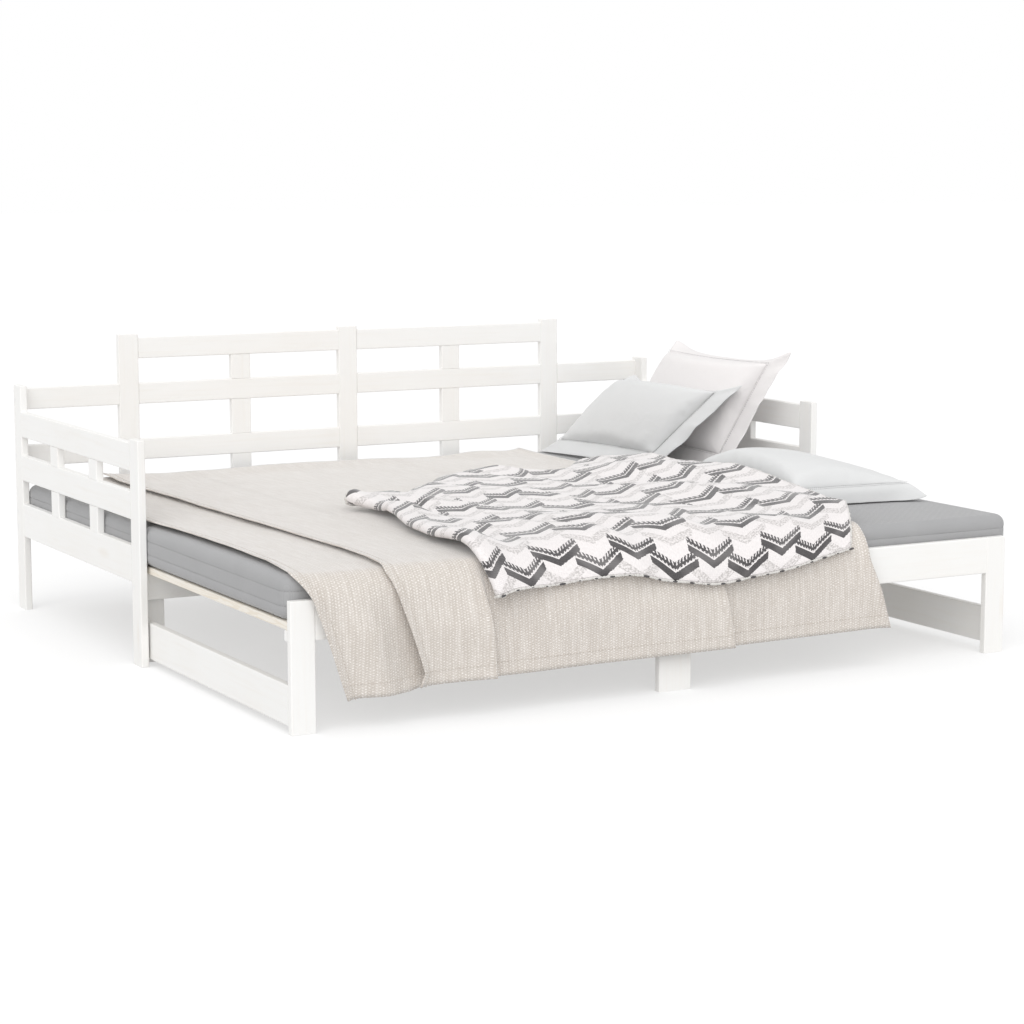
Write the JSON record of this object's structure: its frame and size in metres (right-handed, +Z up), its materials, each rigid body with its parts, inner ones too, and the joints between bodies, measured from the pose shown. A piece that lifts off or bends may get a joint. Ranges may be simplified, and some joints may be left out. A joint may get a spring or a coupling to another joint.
{
  "type": "pull-out day bed",
  "caption": "White pine day bed with a slatted pull-out half that slides out level with it to make a double, dressed with mattresses, a bedspread, a chevron throw and pillows.",
  "frame": {"origin": "on the floor, under the middle of the pulled-out bed with its bedding", "axes": "+X along the bed, -Y towards the front that pulls out, +Z up"},
  "size_m": [2.042, 1.8672, 0.76],
  "materials": {
    "white_paint": "satin white paint on pine",
    "bare_pine": "planed pine",
    "steel": "zinc plated",
    "white_plastic": "matt",
    "mattress_cover": "grey knitted cover",
    "beige_weave": "beige open weave",
    "chevron_throw": "off-white weave with dark chevrons",
    "grey_cotton": "light grey cotton",
    "white_cotton": "white cotton"
  },
  "bodies": {
    "day_bed": {"left_rear_post": "white_paint", "left_front_post": "white_paint", "left_top_rail": "white_paint", "left_middle_rail": "white_paint", "left_bottom_rail": "white_paint", "left_upper_stiles": "white_paint", "left_lower_stiles": "white_paint", "right_rear_post": "white_paint", "right_front_post": "white_paint", "right_top_rail": "white_paint", "right_middle_rail": "white_paint", "right_bottom_rail": "white_paint", "right_upper_stiles": "white_paint", "right_lower_stiles": "white_paint", "left_tall_post": "white_paint", "back_centre_post": "white_paint", "right_tall_post": "white_paint", "left_back_top_rail": "white_paint", "right_back_top_rail": "white_paint", "left_back_middle_rail": "white_paint", "right_back_middle_rail": "white_paint", "left_back_lower_rail": "white_paint", "right_back_lower_rail": "white_paint", "left_outer_middle_rail": "white_paint", "right_outer_middle_rail": "white_paint", "left_outer_lower_rail": "white_paint", "right_outer_lower_rail": "white_paint", "back_upper_stiles": "white_paint", "back_middle_stiles": "white_paint", "back_lower_stiles": "white_paint", "rear_bed_rail": "white_paint", "rear_batten": "white_paint", "cross_beam": "white_paint", "beam_centre_leg": "white_paint", "fixed_slats": "bare_pine", "fixed_slat_screws": "steel", "frame_bolts": "steel", "barrel_nuts": "steel", "bolt_caps": "white_plastic", "rear_mattress": "mattress_cover", "under_blanket": "beige_weave", "bedspread": "beige_weave", "throw_blanket": "chevron_throw", "grey_pillow": "grey_cotton", "white_pillow": "white_cotton"},
    "trundle": {"front_rail": "white_paint", "centre_front_leg": "white_paint", "rear_beam": "white_paint", "front_batten": "white_paint", "left_front_leg": "white_paint", "left_rear_leg": "white_paint", "left_stretcher": "white_paint", "right_front_leg": "white_paint", "right_rear_leg": "white_paint", "right_stretcher": "white_paint", "sliding_slats": "bare_pine", "sliding_slat_screws": "steel", "front_mattress": "mattress_cover", "flat_pillow": "grey_cotton"}
  },
  "joints": [
    {"name": "trundle_slide", "type": "slide", "parent": "day_bed", "child": "trundle", "axis": [0, 1, 0], "range_m": [0, 0.86455], "deforming": ["under_blanket", "bedspread", "throw_blanket", "front_mattress", "flat_pillow"]}
  ]
}
